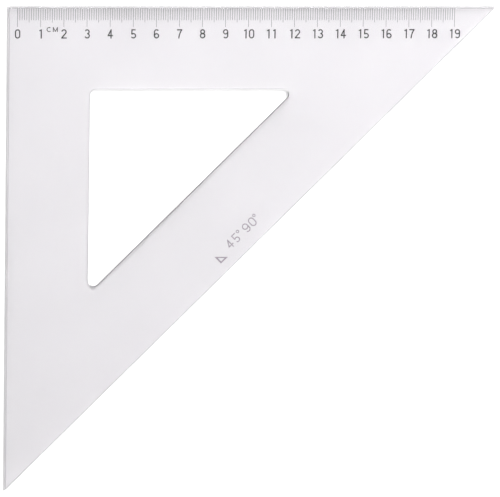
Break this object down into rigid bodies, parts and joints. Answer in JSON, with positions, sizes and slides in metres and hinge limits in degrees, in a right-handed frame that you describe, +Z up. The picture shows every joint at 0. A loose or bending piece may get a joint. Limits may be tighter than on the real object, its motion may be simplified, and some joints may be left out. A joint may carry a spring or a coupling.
{
  "type": "set square",
  "caption": "Clear 45 degree drafting set square with a triangular cutout, an inking ledge along both legs and a printed centimetre scale along one leg.",
  "frame": {"origin": "middle of the hypotenuse, on the underside", "axes": "+X along the graduated edge towards larger numbers, +Y from the hypotenuse's middle towards the graduated edge, +Z up out of the upper face"},
  "size_m": [0.212, 0.212, 0.002],
  "materials": {
    "clear_plastic": "clear moulded plastic, polished faces, slightly hazed edges",
    "black_ink": "stamped black ink",
    "grey_ink": "stamped grey ink"
  },
  "bodies": {
    "root": {"clear_plate": "clear_plastic", "centimetre_ticks": "black_ink", "half_centimetre_ticks": "black_ink", "millimetre_ticks": "black_ink", "numeral_00": "black_ink", "numeral_01": "black_ink", "numeral_02": "black_ink", "numeral_03": "black_ink", "numeral_04": "black_ink", "numeral_05": "black_ink", "numeral_06": "black_ink", "numeral_07": "black_ink", "numeral_08": "black_ink", "numeral_09": "black_ink", "numeral_10": "black_ink", "numeral_11": "black_ink", "numeral_12": "black_ink", "numeral_13": "black_ink", "numeral_14": "black_ink", "numeral_15": "black_ink", "numeral_16": "black_ink", "numeral_17": "black_ink", "numeral_18": "black_ink", "numeral_19": "black_ink", "unit_mark": "black_ink", "angle_mark": "grey_ink"}
  },
  "joints": []
}
